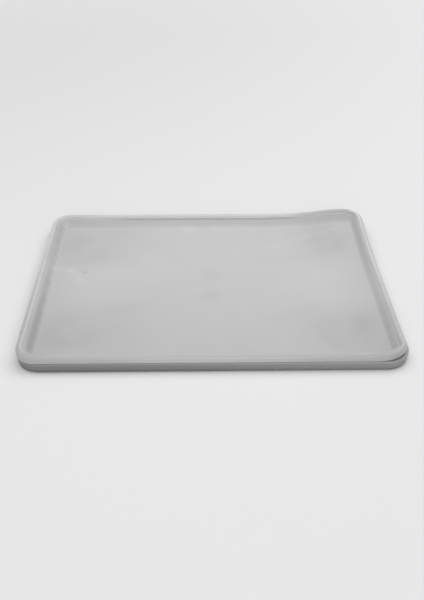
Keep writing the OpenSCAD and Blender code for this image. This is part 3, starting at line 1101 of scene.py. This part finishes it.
def pad(name, corner_u, half_w, half_d, radius, low, high, material, bulge, cell=2.6 * MM):
    """A thin soft slab with rounded edges whose top follows bulge(x, y)."""
    outline = Outline(2 * half_w, 2 * half_d, radius,
                      2 * round(half_w / cell), 2 * round(half_d / cell), 6)
    thick = high - low
    soft = min(corner_u, thick * 0.49)
    section = rounded([
        (radius, high, 0.0), (0.0, high, soft), (0.0, low, soft), (radius, low, 0.0)], cell)
    bm = sweep(outline, section)
    for v in bm.verts:
        v.co.z += bulge(v.co.x, v.co.y, (v.co.z - low) / thick)
    return make_object(name, bm, material)


# ---------------------------------------------------------------- operators


# The lights, each a setting of the stage: width, length, place and aim, in metres
LIGHTS = {
    "key": (1.1, 2.2, (0.12, 0.15, 1.3), (0.0, 0.1, 0.0)),
    "fill": (1.4, 1.4, (0.0, -1.8, 0.9), (0.0, 0.0, 0.0)),
}

# Half the floor's side, and how far it lies below the palette
FLOOR_HALF = 4.0
FLOOR_DROP = 0.2 * MM


class WETPALETTE_OT_stage(bpy.types.Operator):
    """Make the camera, the floor and the light"""

    bl_idname = "wetpalette.stage"
    bl_label = "Stage"

    def execute(self, context):
        s = context.scene.wet_stage
        self.camera(context, s)
        self.floor(s)
        self.lights(context, s)
        context.scene.view_settings.view_transform = "Standard"
        return {"FINISHED"}

    def camera(self, context, s):
        data = bpy.data.cameras.new("camera")
        data.sensor_width = SENSOR
        data.lens = s.focal * SENSOR / FRAME_H
        data.clip_start = 0.01
        camera = bpy.data.objects.new("camera", data)
        back = Vector((math.sin(s.yaw) * math.cos(s.elevation),
                       -math.cos(s.yaw) * math.cos(s.elevation), math.sin(s.elevation)))
        right = Vector((0, 0, 1)).cross(back).normalized()
        up = back.cross(right)
        turned = right * math.cos(s.roll) + up * math.sin(s.roll)
        upward = up * math.cos(s.roll) - right * math.sin(s.roll)
        place = Vector((s.target_x, 0.0, s.target_z)) + back * s.distance
        matrix = Matrix((turned, upward, back)).transposed().to_4x4()
        camera.matrix_world = Matrix.Translation(place) @ matrix
        context.scene.collection.objects.link(camera)
        context.scene.camera = camera

    def floor(self, s):
        bm = bmesh.new()
        for x, y in ((-1, -1), (1, -1), (1, 1), (-1, 1)):
            bm.verts.new((x * FLOOR_HALF, y * FLOOR_HALF, -FLOOR_DROP))
        bm.faces.new(bm.verts)
        material = floor_material(s)
        make_object("floor", bm, material)

    def lights(self, context, s):
        for name, (across, along, place, aim) in LIGHTS.items():
            data = bpy.data.lights.new(name, "AREA")
            data.shape = "RECTANGLE"
            data.size = across
            data.size_y = along
            data.energy = getattr(s, name) * math.pi * across * along
            light = bpy.data.objects.new(name, data)
            light.location = place
            way = Vector(aim) - Vector(place)
            light.rotation_euler = way.to_track_quat("-Z", "Y").to_euler()
            context.scene.collection.objects.link(light)
        world = bpy.data.worlds.new("sky")
        world.use_nodes = True
        t = Tree(world.node_tree)
        back = next(n for n in t.tree.nodes if n.type == "BACKGROUND")
        t.link(t.mix(seen_directly(t), grey(s.sky), grey(s.pale)), back.inputs["Color"])
        context.scene.world = world


class WETPALETTE_OT_tray(bpy.types.Operator):
    """Make the moulded tray and the ribs under its rim"""

    bl_idname = "wetpalette.tray"
    bl_label = "Tray"

    def execute(self, context):
        scene = context.scene
        o, s, finish = scene.wet_outline, scene.wet_tray, scene.wet_finish
        outline = Outline(o.width, o.depth, o.corner)
        plastic = milky_plastic("tray_plastic", finish.shaded_tray_tone, finish,
                                lambda f, colour: tray_tones(f, colour, o))
        warp = tray_warp(o, s)
        gate = mark_rings(0.0, -0.3 * MM)
        shell = sweep(outline, tray_section(o, s), gate)
        shell = make_object("tray_shell", shell, plastic, warp)
        bm = bmesh.new()
        profile = rib_profile(s, math.tan(s.skirt_lean))
        for k in range(4):
            facing = math.radians(90 * k - 90)
            normal = Vector((round(math.cos(facing)), round(math.sin(facing)), 0.0))
            along = Vector((-normal.y, normal.x, 0.0))
            run = (o.width if k % 2 == 0 else o.depth) - 2 * o.corner
            out = (o.depth if k % 2 == 0 else o.width) / 2
            gaps = math.ceil(run / s.rib_pitch)
            for i in range(gaps + 1):
                add_rib(bm, profile, normal * out + along * run * (i / gaps - 0.5), normal, s.rib)
            centre = normal * (out - o.corner) + along * (run / 2)
            for i in range(1, s.corner_ribs + 1):
                turned = facing + math.radians(90) * i / (s.corner_ribs + 1)
                way = Vector((math.cos(turned), math.sin(turned), 0.0))
                add_rib(bm, profile, centre + way * o.corner, way, s.rib)
        ribs = make_object("tray_ribs", bm, plastic, warp)
        for piece in (shell, ribs):
            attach(piece, "tray")
            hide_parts("tray")
        return {"FINISHED"}


class WETPALETTE_OT_lid(bpy.types.Operator):
    """Make the press-on lid"""

    bl_idname = "wetpalette.lid"
    bl_label = "Lid"

    def execute(self, context):
        scene = context.scene
        o, s, finish = scene.wet_outline, scene.wet_lid, scene.wet_finish
        shell = sweep(Outline(o.width, o.depth, s.corner), lid_section(s, scene.wet_tray, s))
        plastic = milky_plastic("lid_plastic", finish.lid_tone, finish,
                                lambda f, colour: lid_tones(f, colour, o, s, finish))
        lid = make_object("lid_shell", shell, plastic, lid_warp(o, s))
        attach(lid, "lid")
        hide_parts("lid")
        return {"FINISHED"}


class WETPALETTE_OT_sponge(bpy.types.Operator):
    """Make the wet sponge on the tray's floor"""

    bl_idname = "wetpalette.sponge"
    bl_label = "Sponge"

    def execute(self, context):
        s = context.scene.wet_soft
        low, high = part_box("sponge")

        def bulge(x, y, share):
            return 0.06 * MM * share * (waves(x, y, 130, 1.3) + waves(x, y, 22, 5.1) - 1.6)

        piece = pad("sponge_pad", 0.5 * MM, high[0], high[1], s.sponge_r, low[2] + HAIR,
                    low[2] + s.sponge_t, sponge_material(context.scene.wet_finish), bulge)
        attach(piece, "sponge")
        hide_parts("sponge")
        return {"FINISHED"}


class WETPALETTE_OT_paper(bpy.types.Operator):
    """Make the sheet of palette paper on the sponge"""

    bl_idname = "wetpalette.paper"
    bl_label = "Paper"

    def execute(self, context):
        s = context.scene.wet_soft
        low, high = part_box("palette_sheet")

        def bulge(x, y, share):
            wave = waves(x, y, 14, 2.2) + 0.4 * waves(x, y, 40, 8.8)
            return s.sheet_wave * max(0.0, wave - 0.1) + HAIR

        piece = pad("paper_sheet", s.sheet_t * 0.4, high[0], high[1], 2 * MM, low[2],
                    low[2] + s.sheet_t, paper_material(context.scene.wet_finish), bulge, 4 * MM)
        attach(piece, "palette_sheet")
        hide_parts("palette_sheet")
        return {"FINISHED"}


class WETPALETTE_PT_panel(bpy.types.Panel):
    """The palette's settings and operators"""

    bl_idname = "WETPALETTE_PT_panel"
    bl_label = "Wet Palette"
    bl_space_type = "VIEW_3D"
    bl_region_type = "UI"
    bl_category = "Wet Palette"

    def draw(self, context):
        scene = context.scene
        for label, attribute, _, operator in SECTIONS:
            box = self.layout.box()
            box.label(text=label)
            settings = getattr(scene, attribute)
            for key in settings.__annotations__:
                box.prop(settings, key)
            if operator:
                box.operator(operator)


# The sections of the panel: label, settings, their class and the operator
SECTIONS = (
    ("Stage", "wet_stage", WetPaletteStage, "wetpalette.stage"),
    ("Outline", "wet_outline", WetPaletteOutline, None),
    ("Tray", "wet_tray", WetPaletteTray, "wetpalette.tray"),
    ("Lid", "wet_lid", WetPaletteLid, "wetpalette.lid"),
    ("Sponge and paper", "wet_soft", WetPaletteSoft, "wetpalette.sponge"),
    ("Finish", "wet_finish", WetPaletteFinish, "wetpalette.paper"),
)

CLASSES = (
    *(section[2] for section in SECTIONS), WETPALETTE_OT_stage, WETPALETTE_OT_tray,
    WETPALETTE_OT_lid, WETPALETTE_OT_sponge, WETPALETTE_OT_paper, WETPALETTE_PT_panel)


def register():
    for cls in CLASSES:
        bpy.utils.register_class(cls)
    for _, attribute, cls, _ in SECTIONS:
        setattr(bpy.types.Scene, attribute, bpy.props.PointerProperty(type=cls))


def unregister():
    for _, attribute, _, _ in SECTIONS:
        delattr(bpy.types.Scene, attribute)
    for cls in reversed(CLASSES):
        bpy.utils.unregister_class(cls)


def main():
    register()
    for operator in ("stage", "tray", "sponge", "paper", "lid"):
        getattr(bpy.ops.wetpalette, operator)()


if __name__ == "__main__":
    main()
